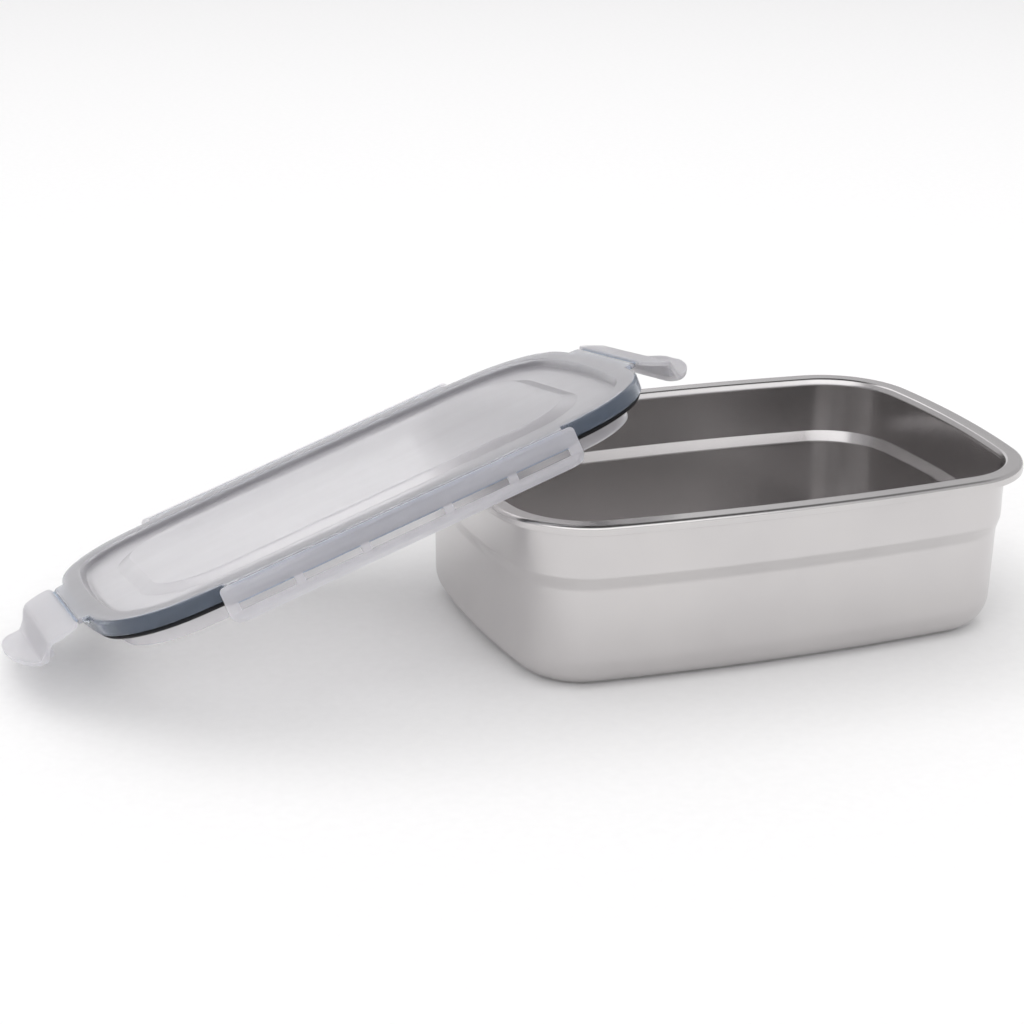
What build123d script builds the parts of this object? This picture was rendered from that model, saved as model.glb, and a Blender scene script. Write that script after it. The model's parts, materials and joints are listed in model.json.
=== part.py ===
from build123d import *
import math
import os

# A steel lunch box with a clip-on plastic lid, in millimetres. The origin is the centre of the
# container's base, X runs along the box, Y across it and Z up. The lid lies open: its left end is
# low, and its underside leans on the back left corner of the container.

# Container: one deep-drawn sheet of stainless steel
RIM_LENGTH = 202.0          # over the flange, at the middle of the two ends
RIM_WIDTH = 138.4           # over the flange, at the middle of the two long sides
BOX_HEIGHT = 61.8
LONG_SIDE_RADIUS = 800.0    # all four sides bow outwards
END_RADIUS = 310.0
CORNER_RADIUS = 33.0
SHEET = 0.6
LIP_DROP = 3.4              # the flange's edge is turned down by this much
LIP_RADIUS = 1.4
OPENING_INSET = 6.8         # from the flange's edge to the inside of the upper wall
FLARE = 0.8                 # the mouth opens outwards above the upper wall
FLARE_DEPTH = 2.2
STEP = 1.3                  # the wall jogs inwards here
STEP_TOP = 41.4
STEP_BOTTOM = 37.0
STEP_UPPER_RADIUS = 2.0
STEP_LOWER_RADIUS = 5.0
DRAFT = 0.9                 # the lower wall leans in by this much on its way down
BOTTOM_FILLET = 12.0
FLOOR_INSET = 27.0          # where the wall's profile ends and the flat floor begins

# Lid: heights are measured from the plane of the flange when the lid is shut
LID_TOP = 7.4
LID_EDGE = 0.5              # the lid's edge is this far inside the flange's edge
SKIRT_BOTTOM = 1.8
SKIRT_WALL = 1.3
PLUG_BOTTOM = -5.6
PLUG_INSET = 7.9
PLUG_WALL = 1.6
PANEL_TOP = 5.0
PANEL = 1.4
CROWN_LENGTH = 160.0        # raised centre of the panel, over the foot of its sloped edge
CROWN_WIDTH = 96.0
CROWN_CORNER = 26.0
CROWN_RISE = 2.0
CROWN_SLOPE = 5.0           # width of the sloped edge
CHANNEL_TOP = 5.6           # roof of the gasket's channel

# Clips: each hangs from a rail on the lid's edge by a thin living hinge
RAIL = 2.0                  # how far a rail stands out from the lid's edge
RAIL_ROOT = 4.5             # how far a rail's root reaches in under the lid's edge
RAIL_BOTTOM = 5.6
RAIL_EDGE = 0.5
LONG_RAIL_GAP = 4.0         # a rail is this much shorter than its clip
END_RAIL_GAP = 11.0
HINGE_GAP = 0.5             # between the rail and the rounded top of a clip
CLIP_SHEET = 1.5
HINGE_DROP = 0.9            # hinge axis below the lid's top
LONG_CLIP = 124.0
LONG_CLIP_DROP = 11.6       # from the hinge axis to the clip's lower edge
LONG_CLIP_CORNER = 4.0
BAND_BULGE = 0.9            # the long clip's upper band and lower bar stand out from its face
BAR_BULGE = 1.5
END_CLIP = 69.0
END_PLATE = 12.2            # an end clip's plate, from the hinge axis
END_PLATE_CORNER = 5.0
END_TAB = 23.6              # from the hinge axis to the tip of the thumb tab
TAB_MIDDLE = 15.2           # from the hinge axis to the middle of the tab's oval
TAB_WIDTH = 54.4
TAB_NECK = 61.0
NECK_MIDDLE = 12.2
NECK_LENGTH = 5.0
# An end clip's wave, as (out from the hinge axis, height, radius): it drops inwards, then rises to the tip
WAVE_OUTSIDE = ((0.75, -10.6, 1.2), (-6.0, -15.4, 1.6), (-2.2, -23.3, 0.7))
WAVE_INSIDE = ((-3.6, -23.9, 0.7), (-7.9, -15.0, 2.2), (-5.0, -12.9, 0.6))
WINDOW_TOP = -5.6
WINDOW_BOTTOM = -8.0
WINDOW_CORNER = 0.7
WINDOWS = ((0.0, 26.0), (26.0, 20.0), (-26.0, 20.0), (48.5, 19.0), (-48.5, 19.0))  # centre, length
HOOK_TOP = -10.3            # just under the turned-down lip when the lid is locked
HOOK_REACH = 5.0
CUT = 20.0                  # more than any clip's depth

# Where the open lid lies, as the place of its top's centre and its turns in degrees
LID_X = -133.1
LID_Y = 16.9
LID_Z = 58.6
LID_YAW = -0.3
LID_TILT = -19.6            # left end down
LID_ROLL = -11.6            # far side down

# Angle of each clip from its locked position, where it hangs square to the lid
FRONT_ANGLE = 8.0
BACK_ANGLE = 4.0
LEFT_ANGLE = 81.0
RIGHT_ANGLE = 67.0


def lid_place():
    """The lid's frame: flange plane at height 0, X along the lid, as it lies open."""
    turned = Pos(LID_X, LID_Y, LID_Z) * Rot(0, 0, LID_YAW) * Rot(0, LID_TILT, 0) * Rot(LID_ROLL, 0, 0)
    return turned * Pos(0, 0, -LID_TOP)


def corner_centre():
    """Centre of the corner arc that runs smoothly into a long side and an end."""
    long_y = RIM_WIDTH / 2 - LONG_SIDE_RADIUS
    end_x = RIM_LENGTH / 2 - END_RADIUS
    to_long = LONG_SIDE_RADIUS - CORNER_RADIUS
    to_end = END_RADIUS - CORNER_RADIUS
    apart = math.hypot(end_x, long_y)
    along = (to_long**2 - to_end**2 + apart**2) / (2 * apart)
    across = math.sqrt(to_long**2 - along**2)
    unit_x = end_x / apart
    unit_y = -long_y / apart
    return along * unit_x + across * unit_y, long_y + along * unit_y - across * unit_x


def outline_arcs():
    """The eight arcs of the rim as (centre x, centre y, radius, start angle, sweep)."""
    corner_x, corner_y = corner_centre()
    long_y = RIM_WIDTH / 2 - LONG_SIDE_RADIUS
    end_x = RIM_LENGTH / 2 - END_RADIUS
    low = math.degrees(math.atan2(corner_y, corner_x - end_x))
    high = math.degrees(math.atan2(corner_y - long_y, corner_x))
    turn = high - low
    return [
        (end_x, 0, END_RADIUS, -low, 2 * low),
        (corner_x, corner_y, CORNER_RADIUS, low, turn),
        (0, long_y, LONG_SIDE_RADIUS, high, 180 - 2 * high),
        (-corner_x, corner_y, CORNER_RADIUS, 180 - high, turn),
        (-end_x, 0, END_RADIUS, 180 - low, 2 * low),
        (-corner_x, -corner_y, CORNER_RADIUS, 180 + low, turn),
        (0, -long_y, LONG_SIDE_RADIUS, 180 + high, 180 - 2 * high),
        (corner_x, -corner_y, CORNER_RADIUS, 360 - high, turn),
    ]


def slab(inset, bottom, top):
    """A plate of the rim's shape, drawn in by an inset."""
    edges = [
        CenterArc((x, y, 0), radius - inset, start, sweep) for x, y, radius, start, sweep in outline_arcs()
    ]
    return Pos(0, 0, bottom) * extrude(make_face(edges), top - bottom, dir=(0, 0, 1))


def rounded_face(corners):
    """A closed face in the XZ plane from (x, z, radius) corners, each rounded by its radius."""
    edges = []
    starts = []
    ends = []
    count = len(corners)
    for index, (x, z, radius) in enumerate(corners):
        before = Vector(*corners[index - 1][:2]) - Vector(x, z)
        after = Vector(*corners[(index + 1) % count][:2]) - Vector(x, z)
        here = Vector(x, 0, z)
        if radius == 0:
            starts.append(here)
            ends.append(here)
            continue
        before = Vector(before.X, 0, before.Y).normalized()
        after = Vector(after.X, 0, after.Y).normalized()
        half = math.radians(before.get_angle(after)) / 2
        start = here + before * (radius / math.tan(half))
        end = here + after * (radius / math.tan(half))
        middle = here + (before + after).normalized() * (radius / math.sin(half) - radius)
        edges.append(ThreePointArc(start, middle, end))
        starts.append(start)
        ends.append(end)
    for index in range(count):
        edges.append(Line(ends[index - 1], starts[index]))
    return make_face(edges)


def ring(corners):
    """A profile of (inset from the rim, height, radius) corners, carried once round the rim."""
    face = rounded_face([(-inset, height, radius) for inset, height, radius in corners])
    sectors = []
    for x, y, radius, start, sweep in outline_arcs():
        sector = revolve(Pos(radius, 0, 0) * face, Axis.Z, sweep)
        sectors.append(Pos(x, y, 0) * Rot(0, 0, start) * sector)
    return sectors[0].fuse(*sectors[1:])


def container():
    """Flange with a turned-down lip, a wall with a small step, a large bottom fillet and the floor."""
    upper = OPENING_INSET
    lower = upper + STEP
    foot = lower + DRAFT
    sheet_edge = SHEET / 2
    wall = ring(
        [
            (0, BOX_HEIGHT - LIP_DROP, sheet_edge),
            (0, BOX_HEIGHT, LIP_RADIUS),
            (upper - FLARE, BOX_HEIGHT, 1.0),
            (upper, BOX_HEIGHT - FLARE_DEPTH, 4.0),
            (upper, STEP_TOP, STEP_UPPER_RADIUS),
            (lower, STEP_BOTTOM, STEP_LOWER_RADIUS),
            (foot, SHEET, BOTTOM_FILLET - SHEET),
            (FLOOR_INSET, SHEET, 0),
            (FLOOR_INSET, 0, 0),
            (foot - SHEET, 0, BOTTOM_FILLET),
            (lower - SHEET, STEP_BOTTOM, STEP_LOWER_RADIUS),
            (upper - SHEET, STEP_TOP, STEP_UPPER_RADIUS),
            (upper - SHEET, BOX_HEIGHT - FLARE_DEPTH, 3.4),
            (upper - FLARE - 0.45, BOX_HEIGHT - SHEET, 1.2),
            (SHEET, BOX_HEIGHT - SHEET, LIP_RADIUS - SHEET),
            (SHEET, BOX_HEIGHT - LIP_DROP, sheet_edge),
        ]
    )
    return wall + slab(FLOOR_INSET, 0, SHEET)


def rails():
    """The four straight ledges on the lid's edge that the clips hang from."""
    long_reach = RIM_WIDTH / 2 - LID_EDGE + RAIL
    end_reach = RIM_LENGTH / 2 - LID_EDGE + RAIL
    depth = RAIL + RAIL_ROOT
    height = LID_TOP - RAIL_BOTTOM
    long_rail = Box(LONG_CLIP - LONG_RAIL_GAP, depth, height, align=(Align.CENTER, Align.MAX, Align.MIN))
    long_rail = fillet(long_rail.edges().filter_by(Axis.X).group_by(Axis.Y)[-1], RAIL_EDGE)
    end_rail = Box(END_CLIP - END_RAIL_GAP, depth, height, align=(Align.CENTER, Align.MAX, Align.MIN))
    end_rail = fillet(end_rail.edges().filter_by(Axis.X).group_by(Axis.Y)[-1], RAIL_EDGE)
    out = []
    for turn, reach, rail in ((0, long_reach, long_rail), (180, long_reach, long_rail),
                              (90, end_reach, end_rail), (270, end_reach, end_rail)):
        out.append(Rot(0, 0, turn) * Pos(0, reach, RAIL_BOTTOM) * rail)
    return out


def crown(foot, length, width, corner):
    """The raised centre: a low rounded block with sloped edges, standing on a height."""
    low = Pos(0, 0, foot) * RectangleRounded(length, width, corner)
    high = Pos(0, 0, foot + CROWN_RISE) * RectangleRounded(
        length - 2 * CROWN_SLOPE, width - 2 * CROWN_SLOPE, corner - CROWN_SLOPE)
    return loft([low, high])


def lid_shell():
    """Rim band with its skirt, the deeper plug wall, the sunk panel and its raised crown."""
    edge = LID_EDGE
    panel_bottom = PANEL_TOP - PANEL
    panel_inset = PLUG_INSET + PLUG_WALL + 4.5
    shell = ring(
        [
            (edge, SKIRT_BOTTOM, 0.3),
            (edge, LID_TOP, 1.3),
            (PLUG_INSET - 0.6, LID_TOP, 0.8),
            (PLUG_INSET + 0.8, PANEL_TOP, 0.8),
            (panel_inset, PANEL_TOP, 0),
            (panel_inset, panel_bottom, 0),
            (PLUG_INSET + PLUG_WALL, panel_bottom, 0.8),
            (PLUG_INSET + PLUG_WALL, PLUG_BOTTOM, 0.6),
            (PLUG_INSET, PLUG_BOTTOM, 0.6),
            (PLUG_INSET, CHANNEL_TOP, 0),
            (edge + SKIRT_WALL, CHANNEL_TOP, 0),
            (edge + SKIRT_WALL, SKIRT_BOTTOM, 0.3),
        ]
    )
    shell = shell + slab(panel_inset, panel_bottom, PANEL_TOP)
    shell = shell + crown(PANEL_TOP, CROWN_LENGTH, CROWN_WIDTH, CROWN_CORNER)
    shell = shell - crown(panel_bottom, CROWN_LENGTH - PANEL, CROWN_WIDTH - PANEL, CROWN_CORNER - PANEL / 2)
    for rail in rails():
        shell = shell + rail
    return shell


def gasket():
    """Soft ring that fills the channel and stands a little below the skirt."""
    outer = LID_EDGE + SKIRT_WALL + 0.1
    inner = PLUG_INSET - 0.1
    return ring(
        [
            (outer, CHANNEL_TOP, 0.3),
            (inner, CHANNEL_TOP, 0.3),
            (inner, 2.4, 0.4),
            (inner - 1.6, 0, 1.2),
            (outer + 0.3, 0, 1.0),
            (outer, 1.6, 0.4),
        ]
    )


def long_clip():
    """Ribbed band, five windows, the hook that grips under the lip and a rounded thumb bar.

    It is drawn locked: hinge axis along X through the origin, outside towards +Y."""
    knuckle = CLIP_SHEET / 2
    bar = LONG_CLIP_DROP
    section = rounded_face(
        [
            (-knuckle, knuckle, knuckle * 0.98),
            (knuckle, knuckle, knuckle * 0.98),
            (knuckle + BAND_BULGE, -1.8, 0.8),
            (knuckle + BAND_BULGE, -4.4, 0.8),
            (knuckle, -5.4, 0.5),
            (knuckle, -7.8, 0.5),
            (knuckle + BAR_BULGE, -8.6, 0.8),
            (knuckle + BAR_BULGE, -bar, 1.4),
            (-HOOK_REACH, -bar, 0.5),
            (-HOOK_REACH, HOOK_TOP, 0.3),
            (-knuckle, HOOK_TOP, 0.2),
        ]
    )
    solid = Rot(0, 0, 90) * Pos(0, LONG_CLIP / 2, 0) * extrude(section, LONG_CLIP, dir=(0, -1, 0))
    front = extrude(
        Plane.XZ
        * Pos(0, -bar / 2 + knuckle / 2, 0)
        * RectangleRounded(LONG_CLIP, bar + knuckle, LONG_CLIP_CORNER),
        CUT, both=True,
    )
    solid = solid & front
    for centre, length in WINDOWS:
        window = extrude(
            Plane.XZ
            * Pos(centre, (WINDOW_TOP + WINDOW_BOTTOM) / 2, 0)
            * RectangleRounded(length, WINDOW_TOP - WINDOW_BOTTOM, WINDOW_CORNER),
            CUT, both=True,
        )
        solid = solid - window
    return solid


def end_clip():
    """Flat plate with its hook, then a waved neck and a rounded thumb tab, drawn as the long clip is."""
    half = CLIP_SHEET / 2
    section = rounded_face(
        [
            (-half, half, half * 0.98),
            (half, half, half * 0.98),
            *WAVE_OUTSIDE,
            *WAVE_INSIDE,
            (-HOOK_REACH, HOOK_TOP, 0.3),
            (-half, HOOK_TOP, 0.3),
        ]
    )
    solid = Rot(0, 0, 90) * Pos(0, END_CLIP / 2, 0) * extrude(section, END_CLIP, dir=(0, -1, 0))
    plate_height = END_PLATE + half
    plate = Plane.XZ * Pos(0, half - plate_height / 2, 0) * RectangleRounded(
        END_CLIP, plate_height, END_PLATE_CORNER)
    neck = Plane.XZ * Pos(0, -NECK_MIDDLE, 0) * RectangleRounded(TAB_NECK, NECK_LENGTH, NECK_LENGTH / 2.1)
    lobe = Plane.XZ * Pos(0, -TAB_MIDDLE, 0) * Ellipse(TAB_WIDTH / 2, END_TAB - TAB_MIDDLE)
    return solid & extrude(plate + neck + lobe, CUT, both=True)


def hinge_place(turn, reach, angle):
    """Where a clip hangs on the lid: turn about Z picks the side, angle opens it from locked."""
    height = LID_TOP - HINGE_DROP
    out = reach - LID_EDGE + RAIL + HINGE_GAP + CLIP_SHEET / 2
    return lid_place() * Rot(0, 0, turn) * Pos(0, out, height) * Rot(angle, 0, 0)


def save(name, shape):
    shape.label = name
    export_step(shape, f"parts/{name}.step")


def main():
    os.makedirs("parts", exist_ok=True)
    half_width = RIM_WIDTH / 2
    half_length = RIM_LENGTH / 2
    save("container", container())
    save("lid_shell", lid_place() * lid_shell())
    save("gasket", lid_place() * gasket())
    save("front_clip", hinge_place(180, half_width, FRONT_ANGLE) * long_clip())
    save("back_clip", hinge_place(0, half_width, BACK_ANGLE) * long_clip())
    save("left_clip", hinge_place(90, half_length, LEFT_ANGLE) * end_clip())
    save("right_clip", hinge_place(270, half_length, RIGHT_ANGLE) * end_clip())


main()
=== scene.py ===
import json
import math

import bmesh
import bpy
import numpy as np
from mathutils import Matrix, Vector

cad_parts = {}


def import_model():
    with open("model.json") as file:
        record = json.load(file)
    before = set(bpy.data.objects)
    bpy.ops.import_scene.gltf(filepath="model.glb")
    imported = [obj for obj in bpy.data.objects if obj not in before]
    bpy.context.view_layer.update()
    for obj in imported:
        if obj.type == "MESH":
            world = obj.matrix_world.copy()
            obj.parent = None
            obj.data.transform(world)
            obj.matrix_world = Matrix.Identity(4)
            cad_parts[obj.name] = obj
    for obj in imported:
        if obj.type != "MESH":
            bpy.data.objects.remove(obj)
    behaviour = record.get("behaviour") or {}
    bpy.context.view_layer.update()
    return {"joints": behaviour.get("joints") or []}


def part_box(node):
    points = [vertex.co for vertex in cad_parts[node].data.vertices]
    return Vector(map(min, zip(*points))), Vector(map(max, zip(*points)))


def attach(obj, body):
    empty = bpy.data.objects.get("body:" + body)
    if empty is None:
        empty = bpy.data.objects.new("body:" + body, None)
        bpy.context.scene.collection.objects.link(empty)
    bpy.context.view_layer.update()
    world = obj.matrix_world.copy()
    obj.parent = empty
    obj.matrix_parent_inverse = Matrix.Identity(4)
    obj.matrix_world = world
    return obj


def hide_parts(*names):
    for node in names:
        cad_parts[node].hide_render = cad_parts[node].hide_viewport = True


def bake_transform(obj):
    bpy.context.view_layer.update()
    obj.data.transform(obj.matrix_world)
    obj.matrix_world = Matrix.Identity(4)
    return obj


# A steel lunch box with its translucent clip-on lid leaning on the rim. Shapes are worked out in
# millimetres in the container's or the lid's own frame, and turned into metres when a mesh is made.

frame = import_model()

MM = 0.001

# ---------------------------------------------------------------- driving sizes, millimetres

container_low, container_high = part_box("container")
RIM_LENGTH = (container_high.x - container_low.x) / MM
RIM_WIDTH = (container_high.y - container_low.y) / MM
BOX_HEIGHT = (container_high.z - container_low.z) / MM
LONG_SIDE_RADIUS = 800.0    # all four sides bow outwards
END_RADIUS = 310.0
CORNER_RADIUS = 33.0
SHEET = 0.6
LIP_DROP = 3.4
LIP_RADIUS = 1.4
OPENING_INSET = 6.8
FLARE = 0.8                 # the mouth opens outwards above the upper wall
FLARE_DEPTH = 2.2
STEP = 1.3
STEP_TOP = 41.4
STEP_BOTTOM = 37.0
STEP_UPPER_RADIUS = 2.0
STEP_LOWER_RADIUS = 5.0
DRAFT = 0.9
BOTTOM_FILLET = 12.0
FLOOR_INSET = 27.0

LID_TOP = 7.4               # lid heights are above the plane of the flange when it is shut
HINGE_DROP = 0.9            # hinge axes below the lid's top
LID_EDGE = 0.5
SKIRT_BOTTOM = 1.8
SKIRT_WALL = 1.3
PLUG_BOTTOM = -5.6
PLUG_INSET = 7.9
PLUG_WALL = 1.6
PANEL_TOP = 5.0
PANEL = 1.4
CHANNEL_TOP = 6.5
CROWN_LENGTH = 160.0
CROWN_WIDTH = 96.0
CROWN_CORNER = 26.0
CROWN_RISE = 2.0
CROWN_SLOPE = 5.0           # width of the sloped edge round the crown
CROWN_MIDDLE = 12.0         # insets of the loops in the crown's flat middle and outside its slope
CROWN_OUTSIDE = -4.0
RAIL = 2.0
RAIL_BOTTOM = 5.6
LONG_RAIL = 120.0
END_RAIL = 58.0
RAIL_RAMP = 1.4             # length over which a rail's end grows out of the lid's edge

HINGE_GAP = 0.5
HINGE_STEPS = 5             # rows round the top of a clip
FILM = 0.5                  # thickness of a hinge film, and how far it reaches into the rail
FILM_SHORTER = 4.0
FILM_STEPS = 10
FILM_COLUMNS = 41
CLIP_SHEET = 1.5
LONG_CLIP = 124.0
LONG_CLIP_DROP = 11.6
LONG_CLIP_CORNER = 3.6
LONG_CLIP_TOP_CORNER = 1.6
PAD_END = 2.6               # length of the rounded ends of a long clip's raised bands
END_CLIP = 69.0
END_TAB = 23.6
TAB_MIDDLE = 15.2           # from the hinge axis to the middle of the thumb tab's oval
TAB_WIDTH = 54.4
TAB_RIM = 1.6               # how far the tab's rim stands above its dish
END_CORNER = 5.0
END_COLUMNS = 18            # on each side of an end clip's middle
END_HOOK = 60.0
WINDOW_TOP = -5.6
WINDOW_BOTTOM = -8.0
WINDOWS = ((0.0, 26.0), (26.0, 20.0), (-26.0, 20.0), (48.5, 19.0), (-48.5, 19.0))
HOOK_TOP = -10.3
HOOK_REACH = 5.0
HALF_SHEET = CLIP_SHEET / 2

# a long clip's outer face: height below the hinge axis, distance from the clip's middle plane
LONG_OUTSIDE = [(-0.3, HALF_SHEET), (-1.6, HALF_SHEET + 0.75), (-3.2, HALF_SHEET + 1.0),
                (-4.9, HALF_SHEET + 0.15), (-5.5, HALF_SHEET), (-8.1, HALF_SHEET),
                (-8.9, HALF_SHEET + 1.0), (-10.2, HALF_SHEET + 1.45),
                (-LONG_CLIP_DROP, HALF_SHEET + 0.9)]
LONG_ROWS = [-0.1, -0.5, -0.9, -1.3, -1.8, -2.3, -2.8, -3.3, -3.8, -4.3, -4.8, -5.2, WINDOW_TOP,
             -6.2, -6.8, -7.4, WINDOW_BOTTOM, -8.3, -8.6, -8.95, -9.3, -9.7, -10.1, HOOK_TOP,
             HOOK_TOP - 0.02, -10.8, -11.2, -LONG_CLIP_DROP]
# an end clip's middle surface and half widths down to its tab, and the heights of its rows
END_MIDDLE = [(-9.0, 0.0), (-10.2, -0.5), (-12.6, -3.6), (-15.0, -6.8), (-17.4, -6.3),
              (-20.2, -4.9), (-END_TAB, -3.3)]
END_WIDTHS = [(-6.6, END_CLIP / 2), (-8.4, END_CLIP / 2 - 0.7), (-10.0, END_CLIP / 2 - 2.0),
              (-11.6, END_CLIP / 2 - 3.2), (-13.2, END_CLIP / 2 - 4.4), (-14.8, TAB_WIDTH / 2 + 2.0)]
END_ROWS = [-0.1, -0.6, -1.2, -2.0, -3.0, -4.2, -5.4, -6.6, -7.5, -8.4, -9.0, -9.6, -10.3, -11.0,
            -11.7, -12.4, -13.1, -13.8, -14.5, -15.2, -16.0, -16.8, -17.6, -18.4, -19.2, -20.0, -20.8,
            -21.5, -22.1, -22.6, -23.0, -23.3, -23.5, -END_TAB + 0.01]
HOOK_SHARES = (-1.0, -0.985, -0.95, -0.6, -0.2, 0.2, 0.6, 0.95, 0.985, 1.0)
HOOK_MIDDLE = (-2.4, -11.4)


# ---------------------------------------------------------------- the rim's outline

def corner_centre():
    long_y = RIM_WIDTH / 2 - LONG_SIDE_RADIUS
    end_x = RIM_LENGTH / 2 - END_RADIUS
    to_long = LONG_SIDE_RADIUS - CORNER_RADIUS
    to_end = END_RADIUS - CORNER_RADIUS
    apart = math.hypot(end_x, long_y)
    along = (to_long**2 - to_end**2 + apart**2) / (2 * apart)
    across = math.sqrt(to_long**2 - along**2)
    unit_x = end_x / apart
    unit_y = -long_y / apart
    return along * unit_x + across * unit_y, long_y + along * unit_y - across * unit_x


class Station:
    """One place on the rim: an arc's centre, radius and angle, its side, and how far along it is."""

    def __init__(self, x, y, radius, angle, side, share):
        self.x, self.y, self.radius, self.angle = x, y, radius, angle
        self.side, self.share = side, share

    def at(self, inset):
        reach = self.radius - inset
        return self.x + reach * math.cos(self.angle), self.y + reach * math.sin(self.angle)


def side_places(half, rail):
    """Distances along a side, closer together where a rail ends."""
    inner = np.linspace(-rail + 2.5, rail - 2.5, max(3, int(rail / 3.0)) * 2 + 1)
    ramp = [rail - RAIL_RAMP * k / 4 for k in (4, 3, 2, 1, 0)]
    outer = list(np.linspace(rail + 1.0, half, 4)[:-1])
    right = ramp + outer
    return [-v for v in reversed(right)] + list(inner) + right


def stations():
    corner_x, corner_y = corner_centre()
    long_y = RIM_WIDTH / 2 - LONG_SIDE_RADIUS
    end_x = RIM_LENGTH / 2 - END_RADIUS
    low = math.atan2(corner_y, corner_x - end_x)
    high = math.atan2(corner_y - long_y, corner_x)
    long_half = LONG_SIDE_RADIUS * math.cos(high)
    end_half = END_RADIUS * math.sin(low)
    long_places = side_places(long_half, LONG_RAIL / 2)
    end_places = side_places(end_half, END_RAIL / 2)
    steps = 26
    quarter = [low + (high - low) * k / steps for k in range(steps + 1)]
    out = []

    def side(centre, radius, angle_of, places, half, name, flip):
        for place in places:
            value = place * flip
            out.append(Station(*centre, radius, angle_of(value), name, value / half))

    def corner(sign_x, sign_y, angles, name):
        for angle in angles:
            share = (quarter_share(angle) - low) / (high - low)
            centre = (corner_x * sign_x, corner_y * sign_y)
            out.append(Station(*centre, CORNER_RADIUS, angle, name, share))

    def quarter_share(angle):
        return math.atan2(abs(math.sin(angle)), abs(math.cos(angle)))

    side((end_x, 0), END_RADIUS, lambda y: math.asin(y / END_RADIUS), end_places,
         end_half, "right", 1)
    corner(1, 1, quarter, "right_back")
    side((0, long_y), LONG_SIDE_RADIUS, lambda x: math.acos(x / LONG_SIDE_RADIUS), long_places,
         long_half, "back", -1)
    corner(-1, 1, [math.pi - a for a in reversed(quarter)], "left_back")
    side((-end_x, 0), END_RADIUS, lambda y: math.pi - math.asin(y / END_RADIUS), end_places,
         end_half, "left", -1)
    corner(-1, -1, [math.pi + a for a in quarter], "left_front")
    side((0, -long_y), LONG_SIDE_RADIUS, lambda x: 2 * math.pi - math.acos(x / LONG_SIDE_RADIUS),
         long_places, long_half, "front", 1)
    corner(1, -1, [2 * math.pi - a for a in reversed(quarter)], "right_front")
    return out


STATIONS = stations()


def rounded(corners, steps, closed=False):
    """A line through (inset, height, radius) corners, each turned into an arc."""
    out = []
    count = len(corners)
    for index, (x, z, radius) in enumerate(corners):
        ends = not closed and index in (0, count - 1)
        if radius == 0 or ends:
            out.append((x, z))
            continue
        before = Vector(corners[index - 1][:2]) - Vector((x, z))
        after = Vector(corners[(index + 1) % count][:2]) - Vector((x, z))
        before.normalize()
        after.normalize()
        half = before.angle(after) / 2
        centre = Vector((x, z)) + (before + after).normalized() * (radius / math.sin(half))
        start = Vector((x, z)) + before * (radius / math.tan(half)) - centre
        end = Vector((x, z)) + after * (radius / math.tan(half)) - centre
        turn = start.angle_signed(end)
        for k in range(steps + 1):
            arm = start.copy()
            arm.rotate(Matrix.Rotation(-turn * k / steps, 2))
            out.append(tuple(centre + arm))
    return out


# ---------------------------------------------------------------- meshes

def finish_mesh(obj, material):
    """Faces outwards, smooth shading, and normals that keep flat faces flat."""
    work = bmesh.new()
    work.from_mesh(obj.data)
    bmesh.ops.remove_doubles(work, verts=work.verts, dist=1e-7)
    bmesh.ops.recalc_face_normals(work, faces=work.faces)
    work.to_mesh(obj.data)
    work.free()
    obj.data.polygons.foreach_set("use_smooth", [True] * len(obj.data.polygons))
    obj.data.materials.append(material)
    weighted = obj.modifiers.new("normals", "WEIGHTED_NORMAL")
    weighted.keep_sharp = True
    return obj


def new_object(name, points, faces, uvs=None):
    mesh = bpy.data.meshes.new(name)
    mesh.from_pydata([tuple(v * MM for v in p) for p in points], [], faces)
    if uvs is not None:
        layer = mesh.uv_layers.new(name="along")
        for polygon in mesh.polygons:
            for corner, loop in enumerate(polygon.loop_indices):
                layer.data[loop].uv = uvs[polygon.index][corner]
    obj = bpy.data.objects.new(name, mesh)
    bpy.context.scene.collection.objects.link(obj)
    return obj


def loops_object(name, loops, wrap=False):
    """Loops of points of equal count, joined by quads. Unless it wraps, caps close both ends.

    Its map coordinates are millimetres round the loop and millimetres from loop to loop."""
    count = len(loops[0])
    points = [p for loop in loops for p in loop]
    middle = loops[len(loops) // 2]
    around = [0.0]
    for k in range(count):
        around.append(around[-1] + math.dist(middle[k], middle[(k + 1) % count]))
    across = [0.0]
    for k in range(len(loops)):
        across.append(across[-1] + math.dist(loops[k][0], loops[(k + 1) % len(loops)][0]))
    faces = []
    uvs = []
    for row in range(len(loops) if wrap else len(loops) - 1):
        below = row * count
        above = ((row + 1) % len(loops)) * count
        for k in range(count):
            n = (k + 1) % count
            faces.append((below + k, below + n, above + n, above + k))
            uvs.append([(around[k], across[row]), (around[k + 1], across[row]),
                        (around[k + 1], across[row + 1]), (around[k], across[row + 1])])
    if not wrap:
        for row in (0, len(loops) - 1):
            faces.append(tuple(range(row * count, (row + 1) * count)))
            uvs.append([(loops[row][k][0], loops[row][k][1]) for k in range(count)])
    return new_object(name, points, faces, uvs)


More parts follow.
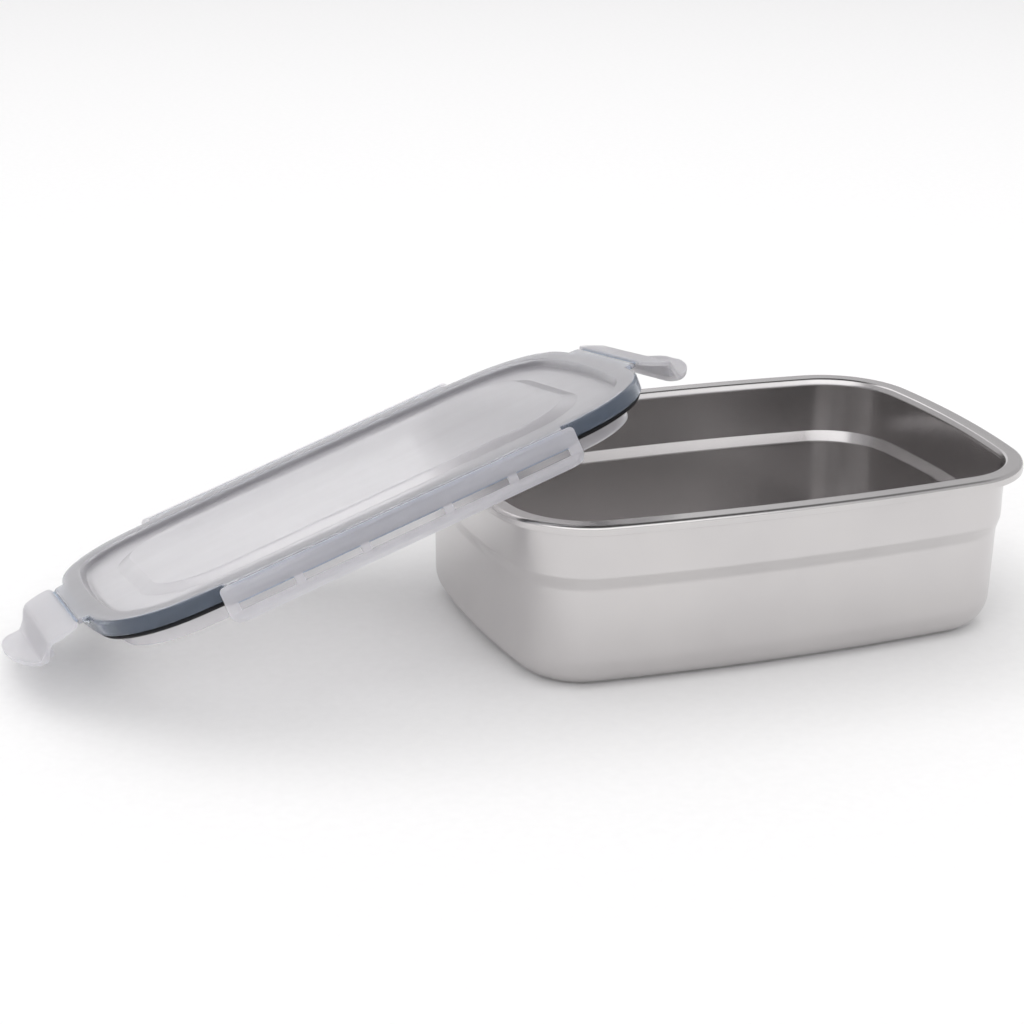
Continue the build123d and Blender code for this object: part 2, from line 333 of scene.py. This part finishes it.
def sheets_object(name, outer, inner, keep=lambda i, j: True):
    """Two matched grids of points, an outer and an inner face, joined round every open edge.

    keep says which cells there are, so that a cell left out is a hole right through."""
    rows, columns = len(outer), len(outer[0])
    points = [p for row in outer for p in row] + [p for row in inner for p in row]
    shift = rows * columns
    faces = []

    def there(i, j):
        return 0 <= i < rows - 1 and 0 <= j < columns - 1 and keep(i, j)

    for i in range(rows - 1):
        for j in range(columns - 1):
            if not there(i, j):
                continue
            a = i * columns + j
            b = a + 1
            c = a + columns + 1
            d = a + columns
            faces.append((a, b, c, d))
            faces.append((shift + d, shift + c, shift + b, shift + a))
            for first, second, near in ((a, b, (i - 1, j)), (b, c, (i, j + 1)),
                                        (c, d, (i + 1, j)), (d, a, (i, j - 1))):
                if not there(*near):
                    faces.append((second, first, shift + first, shift + second))
    return new_object(name, points, faces)


def soft_edges(obj, width):
    bevel = obj.modifiers.new("edges", "BEVEL")
    bevel.width = width * MM
    bevel.segments = 3
    bevel.limit_method = "ANGLE"
    bevel.angle_limit = math.radians(48)
    bevel.harden_normals = False
    # the bevel comes before the weighted normals
    obj.modifiers.move(obj.modifiers.find("edges"), 0)


def smooth(value, start, end):
    share = min(1.0, max(0.0, (value - start) / (end - start)))
    return share * share * (3 - 2 * share)


# ---------------------------------------------------------------- frames of the lid and its clips

JOINTS = {joint["name"]: joint for joint in frame["joints"]}


def axes(x_axis, y_axis, origin):
    z_axis = x_axis.cross(y_axis)
    matrix = Matrix((x_axis, y_axis, z_axis)).transposed().to_4x4()
    matrix.translation = origin
    return matrix


def lid_frame():
    """The lid's frame in metres, worked out from its hinges: the flange's plane is at height 0."""
    x_axis = Vector(JOINTS["back_clip_hinge"]["axis"]).normalized()
    y_axis = Vector(JOINTS["left_clip_hinge"]["axis"]).normalized()
    z_axis = x_axis.cross(y_axis)
    back = Vector(JOINTS["back_clip_hinge"]["pos_m"])
    front = Vector(JOINTS["front_clip_hinge"]["pos_m"])
    middle = (back + front) / 2
    return axes(x_axis, y_axis, middle - z_axis * (LID_TOP - HINGE_DROP) * MM)


LID = lid_frame()


def locked_frame(clip):
    """A clip's frame in metres when it is locked: hinge along X, its outer face towards +Y."""
    joint = JOINTS[clip + "_hinge"]
    x_axis = Vector(joint["axis"]).normalized()
    up = LID.col[2].to_3d()
    return axes(x_axis, up.cross(x_axis), Vector(joint["pos_m"]))


def clip_frame(clip):
    """A clip's frame in metres as it lies, turned open from its locked place."""
    turn = -math.radians(JOINTS[clip + "_hinge"]["range_deg"][0])
    return locked_frame(clip) @ Matrix.Rotation(turn, 4, "X")


# ---------------------------------------------------------------- materials

class Nodes:
    """Short calls for a material's nodes."""

    def __init__(self, name):
        self.material = bpy.data.materials.new(name)
        self.material.use_nodes = True
        self.tree = self.material.node_tree
        self.tree.nodes.clear()
        self.output = self.tree.nodes.new("ShaderNodeOutputMaterial")

    def new(self, kind, **values):
        node = self.tree.nodes.new(kind)
        for name, value in values.items():
            if hasattr(node, name):
                setattr(node, name, value)
            else:
                node.inputs[name.replace("_", " ")].default_value = value
        return node

    def link(self, source, target):
        self.tree.links.new(source, target)

    def scaled(self, source, scale):
        node = self.new("ShaderNodeMapping")
        node.inputs["Scale"].default_value = scale
        self.link(source, node.inputs["Vector"])
        return node.outputs["Vector"]

    def noise(self, vector, scale, detail, roughness):
        node = self.new("ShaderNodeTexNoise", Scale=scale, Detail=detail, Roughness=roughness)
        self.link(vector, node.inputs["Vector"])
        return node.outputs["Fac"]

    def ranged(self, source, low, high, start=0.0, end=1.0):
        node = self.new("ShaderNodeMapRange")
        node.inputs["From Min"].default_value = start
        node.inputs["From Max"].default_value = end
        node.inputs["To Min"].default_value = low
        node.inputs["To Max"].default_value = high
        self.link(source, node.inputs["Value"])
        return node.outputs["Result"]

    def ramp(self, source, stops):
        node = self.new("ShaderNodeValToRGB")
        ramp = node.color_ramp
        while len(ramp.elements) > 1:
            ramp.elements.remove(ramp.elements[-1])
        ramp.elements[0].position = stops[0][0]
        ramp.elements[0].color = (*stops[0][1], 1)
        for position, colour in stops[1:]:
            ramp.elements.new(position).color = (*colour, 1)
        self.link(source, node.inputs["Fac"])
        return node.outputs["Color"]

    def mix(self, share, first, second):
        node = self.new("ShaderNodeMix")
        node.data_type = "FLOAT"
        node.inputs[0].default_value = share
        self.link(first, node.inputs[2])
        self.link(second, node.inputs[3])
        return node.outputs[0]

    def bump(self, height, strength, distance):
        node = self.new("ShaderNodeBump", Strength=strength, Distance=distance)
        self.link(height, node.inputs["Height"])
        return node.outputs["Normal"]


def steel():
    """Satin stainless steel: faint upright draw marks, a fine grain and a slightly uneven tone."""
    n = Nodes("satin_steel")
    along = n.new("ShaderNodeUVMap", uv_map="along").outputs["UV"]
    position = n.new("ShaderNodeTexCoord").outputs["Object"]
    marks = n.noise(n.scaled(along, (0.9, 0.02, 1.0)), 1.0, 4.0, 0.6)
    grain = n.noise(n.scaled(along, (6.0, 2.0, 1.0)), 1.0, 3.0, 0.6)
    cloud = n.noise(position, 26.0, 3.0, 0.55)
    tone = n.mix(0.25, cloud, marks)
    colour = n.ramp(tone, [(0.30, (0.585, 0.568, 0.568)), (0.52, (0.612, 0.596, 0.594)),
                           (0.74, (0.640, 0.622, 0.617))])
    shader = n.new("ShaderNodeBsdfPrincipled", Metallic=1.0)
    n.link(colour, shader.inputs["Base Color"])
    n.link(n.ranged(n.mix(0.5, grain, marks), 0.215, 0.255, 0.3, 0.7), shader.inputs["Roughness"])
    n.link(n.bump(n.mix(0.5, marks, grain), 0.012, 0.0001), shader.inputs["Normal"])
    n.link(shader.outputs[0], n.output.inputs["Surface"])
    return n.material


def plastic(name, haze, roughness, white=(0.785, 0.775, 0.835), tint=(0.99, 0.98, 0.97)):
    """Milky polypropylene: a clear resin that scatters bluish white and lets warm light through."""
    n = Nodes(name)
    position = n.new("ShaderNodeTexCoord").outputs["Object"]
    flow = n.noise(n.scaled(position, (14.0, 55.0, 55.0)), 1.0, 3.0, 0.5)
    fine = n.noise(position, 700.0, 2.0, 0.5)
    surface = n.ranged(n.mix(0.4, flow, fine), roughness * 0.92, roughness * 1.08, 0.3, 0.7)
    normal = n.bump(flow, 0.012, 0.0003)
    clear = n.new("ShaderNodeBsdfPrincipled", Transmission_Weight=1.0, IOR=1.3)
    deeper = tuple(0.995 * v for v in tint)
    n.link(n.ramp(flow, [(0.3, tint), (0.7, deeper)]), clear.inputs["Base Color"])
    n.link(surface, clear.inputs["Roughness"])
    n.link(normal, clear.inputs["Normal"])
    milk = n.new("ShaderNodeBsdfPrincipled", IOR=1.49)
    dark = tuple(0.985 * v for v in white)
    n.link(n.ramp(flow, [(0.3, dark), (0.7, white)]), milk.inputs["Base Color"])
    n.link(surface, milk.inputs["Roughness"])
    n.link(normal, milk.inputs["Normal"])
    through = n.new("ShaderNodeBsdfTranslucent")
    through.inputs["Color"].default_value = (0.94, 0.94, 0.95, 1)
    n.link(normal, through.inputs["Normal"])
    body = n.new("ShaderNodeMixShader", Fac=0.5)
    n.link(milk.outputs[0], body.inputs[1])
    n.link(through.outputs[0], body.inputs[2])
    whole = n.new("ShaderNodeMixShader")
    n.link(n.ranged(flow, haze * 0.97, haze * 1.03, 0.3, 0.7), whole.inputs["Fac"])
    n.link(clear.outputs[0], whole.inputs[1])
    n.link(body.outputs[0], whole.inputs[2])
    n.link(whole.outputs[0], n.output.inputs["Surface"])
    return n.material


def silicone():
    """Matt black silicone with a fine moulded skin."""
    n = Nodes("black_silicone")
    position = n.new("ShaderNodeTexCoord").outputs["Object"]
    skin = n.noise(position, 1400.0, 3.0, 0.6)
    dust = n.noise(position, 160.0, 4.0, 0.65)
    shader = n.new("ShaderNodeBsdfPrincipled")
    shader.inputs["Specular IOR Level"].default_value = 0.2
    n.link(n.ramp(dust, [(0.45, (0.004, 0.004, 0.005)), (0.8, (0.012, 0.012, 0.014))]),
           shader.inputs["Base Color"])
    n.link(n.ranged(dust, 0.42, 0.6), shader.inputs["Roughness"])
    n.link(n.bump(skin, 0.25, 0.00012), shader.inputs["Normal"])
    n.link(shader.outputs[0], n.output.inputs["Surface"])
    return n.material


def paper():
    """The floor: pale matt paper."""
    n = Nodes("floor_paper")
    position = n.new("ShaderNodeTexCoord").outputs["Object"]
    fibre = n.noise(position, 260.0, 3.0, 0.6)
    shader = n.new("ShaderNodeBsdfPrincipled", Roughness=0.95)
    shader.inputs["Specular IOR Level"].default_value = 0.1
    n.link(n.ramp(fibre, [(0.3, (0.905, 0.905, 0.905)), (0.7, (0.925, 0.925, 0.925))]),
           shader.inputs["Base Color"])
    n.link(shader.outputs[0], n.output.inputs["Surface"])
    return n.material


STEEL = steel()
LID_PLASTIC = plastic("milky_lid", 0.38, 0.16)
SKIRT_PLASTIC = plastic("clearer_skirt", 0.13, 0.12, (0.50, 0.64, 0.90), (0.92, 0.96, 1.0))
CLIP_PLASTIC = plastic("milky_clip", 0.46, 0.32)
# darker bluish plastic: the hinge films' own look, and painted shade along the top edges of the long
# clips' windows
FILM_AND_SHADED_EDGE_PLASTIC = plastic("film_and_painted_shade_edges", 0.30, 0.32, (0.30, 0.40, 0.56), (0.72, 0.82, 0.95))
SILICONE = silicone()


# ---------------------------------------------------------------- the container

def container():
    """Rolled flange, wall with its small step, bottom fillet and floor, as one drawn sheet."""
    upper = OPENING_INSET
    lower = upper + STEP
    foot = lower + DRAFT
    profile = rounded(
        [
            (FLOOR_INSET, SHEET, 0),
            (foot, SHEET, BOTTOM_FILLET - SHEET),
            (lower, STEP_BOTTOM, STEP_LOWER_RADIUS),
            (upper, STEP_TOP, STEP_UPPER_RADIUS),
            (upper, BOX_HEIGHT - FLARE_DEPTH, 4.0),
            (upper - FLARE, BOX_HEIGHT, 1.0),
            (0, BOX_HEIGHT, LIP_RADIUS),
            (0, BOX_HEIGHT - LIP_DROP, 0.28),
            (SHEET, BOX_HEIGHT - LIP_DROP, 0.28),
            (SHEET, BOX_HEIGHT - SHEET, 0.8),
            (upper - FLARE - 0.45, BOX_HEIGHT - SHEET, 1.2),
            (upper - SHEET, BOX_HEIGHT - FLARE_DEPTH, 3.4),
            (upper - SHEET, STEP_TOP, 1.6),
            (lower - SHEET, STEP_BOTTOM, 5.4),
            (foot - SHEET, 0, BOTTOM_FILLET),
            (FLOOR_INSET, 0, 0),
        ],
        steps=9,
    )
    loops = [[(*s.at(inset), height) for s in STATIONS] for inset, height in profile]
    obj = finish_mesh(loops_object("steel_container", loops), STEEL)
    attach(obj, "container")
    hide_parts("container")


# ---------------------------------------------------------------- the lid

def rail_shift(station):
    """How far a rail stands out from the lid's edge at a station, and in which direction."""
    x, y = station.at(LID_EDGE)
    if station.side in ("front", "back"):
        distance, half, across = abs(x), LONG_RAIL / 2, abs(y)
        reach = RIM_WIDTH / 2 - LID_EDGE + RAIL
        direction = (0, math.copysign(1, y))
    elif station.side in ("left", "right"):
        distance, half, across = abs(y), END_RAIL / 2, abs(x)
        reach = RIM_LENGTH / 2 - LID_EDGE + RAIL
        direction = (math.copysign(1, x), 0)
    else:
        return (0.0, 0.0)
    share = smooth(half - distance, 0.0, RAIL_RAMP)
    return (direction[0] * (reach - across) * share, direction[1] * (reach - across) * share)


def crown_at(station, inset):
    """The crown's rounded outline, matched to the rim's stations, drawn in by an inset."""
    half_x = CROWN_LENGTH / 2 - CROWN_CORNER
    half_y = CROWN_WIDTH / 2 - CROWN_CORNER
    reach = CROWN_CORNER - inset
    if station.side in ("front", "back"):
        sign = 1 if station.side == "back" else -1
        return station.share * half_x, sign * (half_y + reach)
    if station.side in ("left", "right"):
        sign = 1 if station.side == "right" else -1
        return sign * (half_x + reach), station.share * half_y
    sign_x = 1 if "right" in station.side else -1
    sign_y = 1 if "back" in station.side else -1
    angle = station.share * math.pi / 2
    return sign_x * (half_x + reach * math.cos(angle)), sign_y * (half_y + reach * math.sin(angle))


def crown_loops(profile):
    return [[(*crown_at(s, inset), height) for s in STATIONS] for inset, height in profile]


def lid_loops(profile):
    """Loops of the lid's rim. Its outer edge above RAIL_BOTTOM moves out along the rails."""
    out = []
    for inset, height in profile:
        moves = inset < LID_EDGE + 1.35 and height >= RAIL_BOTTOM - 1e-6
        loop = []
        for station in STATIONS:
            x, y = station.at(inset)
            if moves:
                shift_x, shift_y = rail_shift(station)
                x, y = x + shift_x, y + shift_y
            loop.append((x, y, height))
        out.append(loop)
    return out


def outside_plug(x, y):
    """True for a point of the lid nearer its edge than the middle of the gasket's channel."""
    nearest = min(STATIONS, key=lambda s: math.dist(s.at(LID_EDGE), (x, y)))
    return math.dist(nearest.at(LID_EDGE), (x, y)) < SKIRT_WALL + 0.6


def lid_shell():
    crown_top = PANEL_TOP + CROWN_RISE
    under = PANEL_TOP - PANEL
    crown_outside = rounded(
        [
            (CROWN_MIDDLE, crown_top, 0),
            (CROWN_SLOPE, crown_top, 1.6),
            (0.0, PANEL_TOP, 1.2),
            (CROWN_OUTSIDE, PANEL_TOP, 0),
        ],
        steps=5,
    )
    crown_inside = rounded(
        [
            (CROWN_OUTSIDE, under, 0),
            (PANEL * 0.5, under, 1.2),
            (CROWN_SLOPE + PANEL * 0.5, under + CROWN_RISE, 1.2),
            (CROWN_MIDDLE, under + CROWN_RISE, 0),
        ],
        steps=5,
    )
    panel_inset = PLUG_INSET + PLUG_WALL + 1.6
    rim = rounded(
        [
            (panel_inset, PANEL_TOP, 0),
            (PLUG_INSET + 0.9, PANEL_TOP, 0.7),
            (PLUG_INSET - 0.6, LID_TOP, 0.7),
            (LID_EDGE, LID_TOP, 1.3),
            (LID_EDGE, RAIL_BOTTOM, 0),
            (LID_EDGE, RAIL_BOTTOM - 0.02, 0),
            (LID_EDGE, SKIRT_BOTTOM, 0.5),
            (LID_EDGE + SKIRT_WALL, SKIRT_BOTTOM, 0.5),
            (LID_EDGE + SKIRT_WALL, CHANNEL_TOP, 0.3),
            (PLUG_INSET, CHANNEL_TOP, 0.3),
            (PLUG_INSET, PLUG_BOTTOM, 0.7),
            (PLUG_INSET + PLUG_WALL, PLUG_BOTTOM, 0.7),
            (PLUG_INSET + PLUG_WALL, under, 0.8),
            (panel_inset, under, 0),
        ],
        steps=5,
    )
    loops = crown_loops(crown_outside) + lid_loops(rim) + crown_loops(crown_inside)
    obj = finish_mesh(loops_object("lid_shell_moulded", loops), LID_PLASTIC)
    obj.data.materials.append(SKIRT_PLASTIC)
    for polygon in obj.data.polygons:
        x, y, height = (v / MM for v in polygon.center)
        if SKIRT_BOTTOM - 0.1 < height < LID_TOP - 0.35 and outside_plug(x, y):
            polygon.material_index = 1
    obj.data.transform(LID)
    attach(obj, "lid")
    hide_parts("lid_shell")


def gasket():
    """Silicone ring in the lid's channel, with a soft lip that stands a little below the skirt."""
    outer = LID_EDGE + SKIRT_WALL + 0.1
    inner = PLUG_INSET - 0.1
    profile = rounded(
        [
            (outer, CHANNEL_TOP - 0.1, 0.3),
            (outer, 1.6, 0.5),
            (outer - 0.6, 0.9, 0.4),
            (outer + 0.2, 0.0, 0.7),
            (inner - 2.6, 0.0, 0.8),
            (inner - 1.6, 0.9, 0.6),
            (inner, 2.0, 0.5),
            (inner, CHANNEL_TOP - 0.1, 0.3),
        ],
        steps=4,
        closed=True,
    )
    loops = [[(*s.at(inset), height) for s in STATIONS] for inset, height in profile]
    obj = finish_mesh(loops_object("silicone_gasket", loops, wrap=True), SILICONE)
    obj.data.transform(LID)
    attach(obj, "lid")
    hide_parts("gasket")


# ---------------------------------------------------------------- the clips

def curve_through(points, value):
    """A smooth line through (place, height) points, read at a place. Places go down."""
    for (a, low), (b, high) in zip(points, points[1:]):
        if value >= b:
            return low + (high - low) * smooth(value, a, b)
    return points[-1][1]


def flowing(points, value):
    """A smooth line through (place, height) points, without flat spots at them. Places go down."""
    if value >= points[0][0]:
        return points[0][1]
    for index, ((a, low), (b, high)) in enumerate(zip(points, points[1:])):
        if value >= b:
            before = points[max(0, index - 1)]
            after = points[min(len(points) - 1, index + 2)]
            span = b - a
            start = (high - before[1]) / (b - before[0]) * span
            end = (after[1] - low) / (after[0] - a) * span
            t = (value - a) / span
            return ((2 * t**3 - 3 * t**2 + 1) * low + (t**3 - 2 * t**2 + t) * start
                    + (3 * t**2 - 2 * t**3) * high + (t**3 - t**2) * end)
    return points[-1][1]


def hinge_rows():
    """Matched outer and inner points, (y, z), of the rounded top of a clip."""
    half = HALF_SHEET
    outer = []
    inner = []
    for k in range(HINGE_STEPS):
        angle = math.pi / 2 * (1 - k / HINGE_STEPS) * 0.96
        outer.append((half * math.cos(angle), half * math.sin(angle)))
        inner.append((-half * math.cos(angle), half * math.sin(angle)))
    return outer, inner


def long_clip(name, clip):
    """Ribbed band, five windows, the hook that grips under the lip and a rounded thumb bar."""
    half = HALF_SHEET
    outer, inner = hinge_rows()
    for z in LONG_ROWS:
        outer.append((curve_through(LONG_OUTSIDE, z), z))
        inner.append((-half if z >= HOOK_TOP else -HOOK_REACH, z))
    places = {-LONG_CLIP / 2, LONG_CLIP / 2}
    for centre, length in WINDOWS:
        for side in (-1, 1):
            edge = centre + side * length / 2
            places.update((edge, edge - side * 0.8))
    places.update(np.linspace(-57, 57, 39))
    ends = [LONG_CLIP / 2 - d for d in (0.35, 0.8, 1.4, 2.0, 2.7, 3.4)]
    places.update(ends + [-v for v in ends])
    places = sorted(places)
    columns = [v for k, v in enumerate(places) if k == 0 or v - places[k - 1] > 0.12]
    holes = set()
    for centre, length in WINDOWS:
        for j in range(len(columns) - 1):
            middle = (columns[j] + columns[j + 1]) / 2
            if abs(middle - centre) < length / 2:
                holes.add(j)
    row_of = {z: index for index, (_, z) in enumerate(outer)}
    top_row, bottom_row = row_of[WINDOW_TOP], row_of[WINDOW_BOTTOM]
    limit = LONG_CLIP / 2
    fixed = limit - LONG_CLIP_CORNER - 0.3

    def half_length(z):
        """The clip's half length at a height: round lower corners and tighter upper ones."""
        low = -LONG_CLIP_DROP + LONG_CLIP_CORNER
        top = LONG_CLIP_TOP_CORNER
        high = half - top
        if z < low:
            arc = max(0.0, LONG_CLIP_CORNER**2 - (low - z) ** 2)
            return limit - LONG_CLIP_CORNER + math.sqrt(arc)
        if z > high:
            return limit - top + math.sqrt(max(0.0, top**2 - (z - high) ** 2))
        return limit

    def put(x, y, z, outside):
        if abs(x) > fixed:
            reach = (abs(x) - fixed) * (half_length(z) - fixed) / (limit - fixed)
            x = math.copysign(fixed + reach, x)
        if outside:
            # the raised bands have rounded ends of their own
            end_gap = half_length(z) - abs(x)
            y = half + (y - half) * smooth(end_gap, 0.0, PAD_END)
        return (x, y, z)

    outer_grid = [[put(x, y, z, True) for x in columns] for y, z in outer]
    inner_grid = [[put(x, y, z, False) for x in columns] for y, z in inner]
    obj = sheets_object(name, outer_grid, inner_grid,
                        lambda i, j: not (j in holes and top_row <= i < bottom_row))
    finish_mesh(obj, CLIP_PLASTIC)
    # faces along each window's top edge take the darker plastic: painted shade under the band above
    # the window
    obj.data.materials.append(FILM_AND_SHADED_EDGE_PLASTIC)
    for polygon in obj.data.polygons:
        x, y, z = (v / MM for v in polygon.center)
        over_window = any(abs(x - centre) < length / 2 for centre, length in WINDOWS)
        if over_window and WINDOW_TOP - 0.05 < z < WINDOW_TOP + 0.5:
            polygon.material_index = 1
    soft_edges(obj, 0.28)
    obj.data.transform(clip_frame(clip))
    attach(obj, clip)
    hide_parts(clip)


def end_clip(name, clip):
    """Flat plate with its hook, a step down, then an oval dished tab that rises to its tip."""
    half = HALF_SHEET
    wide = END_CLIP / 2
    outer, inner = hinge_rows()
    for z in END_ROWS:
        y = flowing(END_MIDDLE, z)
        lean = (flowing(END_MIDDLE, z - 0.2) - flowing(END_MIDDLE, z + 0.2)) / 0.4
        size = math.hypot(1.0, lean)
        outer.append((y + half / size, z + lean * half / size))
        inner.append((y - half / size, z - lean * half / size))

    def half_width(z):
        if z > -4.0:
            arc = max(0.0, END_CORNER**2 - (z + END_CORNER - half) ** 2)
            return wide - END_CORNER + math.sqrt(arc)
        oval = 1 - ((-z - TAB_MIDDLE) / (END_TAB - TAB_MIDDLE)) ** 2
        lobe = TAB_WIDTH / 2 * math.sqrt(max(0.0, oval)) if z < -TAB_MIDDLE else TAB_WIDTH / 2
        plate = flowing(END_WIDTHS, z)
        blend = smooth(-z, 13.4, 18.0)
        return plate + (lobe - plate) * blend

    across = [math.sin(math.pi / 2 * k / END_COLUMNS) for k in range(-END_COLUMNS, END_COLUMNS + 1)]

    def grid(rows, face):
        out = []
        for y, z in rows:
            station = max(-END_TAB + 0.01, min(half, z))
            width = half_width(station)
            line = []
            for share in across:
                x = width * share
                reach = math.hypot(share * width / (TAB_WIDTH / 2),
                                   max(0.0, -station - TAB_MIDDLE) / (END_TAB - TAB_MIDDLE))
                rim = max(0.0, (reach - 0.55) / 0.45) ** 2
                lift = TAB_RIM * rim * smooth(-station, 12.6, 15.6)
                edge = smooth(1 - abs(share), 0.0, 0.02)
                line.append((x, y + lift - face * 0.3 * (1 - edge), z))
            out.append(line)
        return out

    obj = sheets_object(name, grid(outer, 1), grid(inner, -1))
    finish_mesh(obj, CLIP_PLASTIC)
    soft_edges(obj, 0.3)
    hook = end_hook(name + "_hook")
    for piece in (obj, hook):
        piece.data.transform(clip_frame(clip))
        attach(piece, clip)
    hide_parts(clip)


def end_hook(name):
    """The ridge on the inner face of an end clip that grips under the lip."""
    section = rounded([(-0.3, HOOK_TOP, 0), (-HOOK_REACH, HOOK_TOP, 0.3), (-HOOK_REACH, -12.7, 0.6),
                       (-1.6, -10.7, 0)], steps=4)
    loops = []
    middle_y, middle_z = HOOK_MIDDLE
    for share in HOOK_SHARES:
        shrink = 0.45 * smooth(abs(share), 0.95, 1.0)
        loops.append([(END_HOOK / 2 * share, y + (middle_y - y) * shrink * 0.3,
                       z + (middle_z - z) * shrink * 0.3) for y, z in section])
    return finish_mesh(loops_object(name, loops), CLIP_PLASTIC)


def hinge_web(name, clip, length):
    """The living hinge between the lid's rail and a clip: a flat film along its axis, placed as when
    the clip is locked.
    """
    across = HALF_SHEET + HINGE_GAP
    columns = np.linspace(-length / 2, length / 2, FILM_COLUMNS)
    outer = []
    inner = []
    for k in range(FILM_STEPS + 1):
        y = -across - FILM + (across + FILM) * k / FILM_STEPS
        outer.append([(x, y, FILM / 2) for x in columns])
        inner.append([(x, y, -FILM / 2) for x in columns])
    obj = sheets_object(name, outer, inner)
    finish_mesh(obj, FILM_AND_SHADED_EDGE_PLASTIC)
    locked = locked_frame(clip)
    obj.data.transform(locked)
    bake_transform(obj)


container()
lid_shell()
gasket()
long_clip("front_clip_moulded", "front_clip")
long_clip("back_clip_moulded", "back_clip")
end_clip("left_clip_moulded", "left_clip")
end_clip("right_clip_moulded", "right_clip")
hinge_web("front_hinge_film", "front_clip", LONG_RAIL - FILM_SHORTER)
hinge_web("back_hinge_film", "back_clip", LONG_RAIL - FILM_SHORTER)
hinge_web("left_hinge_film", "left_clip", END_RAIL - FILM_SHORTER)
hinge_web("right_hinge_film", "right_clip", END_RAIL - FILM_SHORTER)


# ---------------------------------------------------------------- floor, camera and light

FLOOR_HALF = 8.0                # metres

CAMERA_AZIMUTH = -22.502        # degrees; 0 looks along +Y
CAMERA_ELEVATION = 19.754
CAMERA_ROLL = 1.322
CAMERA_DISTANCE = 0.9156        # metres, from the point it looks at
CAMERA_ACROSS = -0.0708         # where it looks, from the frame's origin: across and up the picture
CAMERA_UP = 0.03392
CAMERA_LENS = 89.25
SENSOR = 36.0

ROOM_LIGHT = 0.55
FRONT_LIGHT = 1.0
BACK_LIGHT = 1.2
CEILING_LIGHT = 0.06
HORIZON_LIGHT = 0.35

LAMP_PLACE = (0.0, 0.1, 2.0)    # metres
LAMP_TARGET = (0.0, 0.1, 0.0)
LAMP_SIZE = (3.0, 3.0)
LAMP_POWER = 34.0
LAMP_COLOUR = (1.0, 0.99, 0.985)


def floor():
    work = bmesh.new()
    bmesh.ops.create_grid(work, x_segments=8, y_segments=8, size=FLOOR_HALF)
    mesh = bpy.data.meshes.new("floor")
    work.to_mesh(mesh)
    work.free()
    obj = bpy.data.objects.new("floor", mesh)
    bpy.context.scene.collection.objects.link(obj)
    obj.data.materials.append(paper())


def camera():
    azimuth = math.radians(CAMERA_AZIMUTH)
    elevation = math.radians(CAMERA_ELEVATION)
    roll = math.radians(CAMERA_ROLL)
    back = Vector((math.sin(azimuth) * math.cos(elevation),
                   -math.cos(azimuth) * math.cos(elevation), math.sin(elevation)))
    right = Vector((math.cos(azimuth), math.sin(azimuth), 0))
    up = back.cross(right)
    across = right * math.cos(roll) + up * math.sin(roll)
    upward = up * math.cos(roll) - right * math.sin(roll)
    data = bpy.data.cameras.new("camera")
    data.lens = CAMERA_LENS
    data.sensor_width = SENSOR
    data.clip_start = 0.01
    data.clip_end = 50.0
    obj = bpy.data.objects.new("camera", data)
    matrix = Matrix((across, upward, back)).transposed().to_4x4()
    matrix.translation = back * CAMERA_DISTANCE + across * CAMERA_ACROSS + upward * CAMERA_UP
    obj.matrix_world = matrix
    bpy.context.scene.collection.objects.link(obj)
    bpy.context.scene.camera = obj


def world():
    """A studio as soft zones: a grey room, softboxes in front and behind, a low bright horizon."""
    made = bpy.data.worlds.new("studio")
    bpy.context.scene.world = made
    made.use_nodes = True
    tree = made.node_tree
    tree.nodes.clear()
    output = tree.nodes.new("ShaderNodeOutputWorld")
    shade = tree.nodes.new("ShaderNodeBackground")
    split = tree.nodes.new("ShaderNodeSeparateXYZ")
    tree.links.new(tree.nodes.new("ShaderNodeTexCoord").outputs["Generated"], split.inputs[0])

    def zone(axis, start, end):
        node = tree.nodes.new("ShaderNodeMapRange")
        node.interpolation_type = "SMOOTHSTEP"
        node.inputs["From Min"].default_value = start
        node.inputs["From Max"].default_value = end
        tree.links.new(split.outputs[axis], node.inputs["Value"])
        return node.outputs[0]

    def combine(operation, first, second):
        node = tree.nodes.new("ShaderNodeMath")
        node.operation = operation
        for socket, value in zip(node.inputs, (first, second)):
            if isinstance(value, float):
                socket.default_value = value
            else:
                tree.links.new(value, socket)
        return node.outputs[0]

    def product(*values):
        out = values[0]
        for value in values[1:]:
            out = combine("MULTIPLY", out, value)
        return out

    room = product(zone("Z", 0.95, 0.60), ROOM_LIGHT)
    front = product(zone("Y", -0.15, -0.45), zone("Z", 0.10, 0.22), zone("Z", 0.80, 0.66),
                    zone("X", 0.50, 0.34), FRONT_LIGHT)
    horizon = product(zone("Y", 0.20, 0.60), zone("Z", 0.52, 0.42), zone("X", 0.52, 0.32),
                      zone("X", -0.25, 0.05), HORIZON_LIGHT)
    behind = product(zone("Y", 0.05, 0.30), zone("X", 0.25, -0.15), zone("Z", 0.50, 0.60),
                     zone("Z", 0.88, 0.78), BACK_LIGHT)
    total = combine("ADD", combine("ADD", room, front), combine("ADD", behind, CEILING_LIGHT))
    total = combine("ADD", total, horizon)
    tree.links.new(total, shade.inputs["Strength"])
    shade.inputs["Color"].default_value = (0.995, 0.99, 1.0, 1)
    tree.links.new(shade.outputs[0], output.inputs["Surface"])


def top_light():
    """One wide soft lamp overhead, which steel doesn't mirror."""
    data = bpy.data.lights.new("top_softbox", "AREA")
    data.shape = "RECTANGLE"
    data.size, data.size_y = LAMP_SIZE
    data.energy = LAMP_POWER
    data.color = LAMP_COLOUR
    obj = bpy.data.objects.new("top_softbox", data)
    obj.location = LAMP_PLACE
    obj.visible_glossy = False
    down = Vector(LAMP_TARGET) - Vector(LAMP_PLACE)
    obj.rotation_euler = down.to_track_quat("-Z", "Y").to_euler()
    bpy.context.scene.collection.objects.link(obj)


floor()
camera()
world()
top_light()
bpy.context.scene.view_settings.view_transform = "Standard"
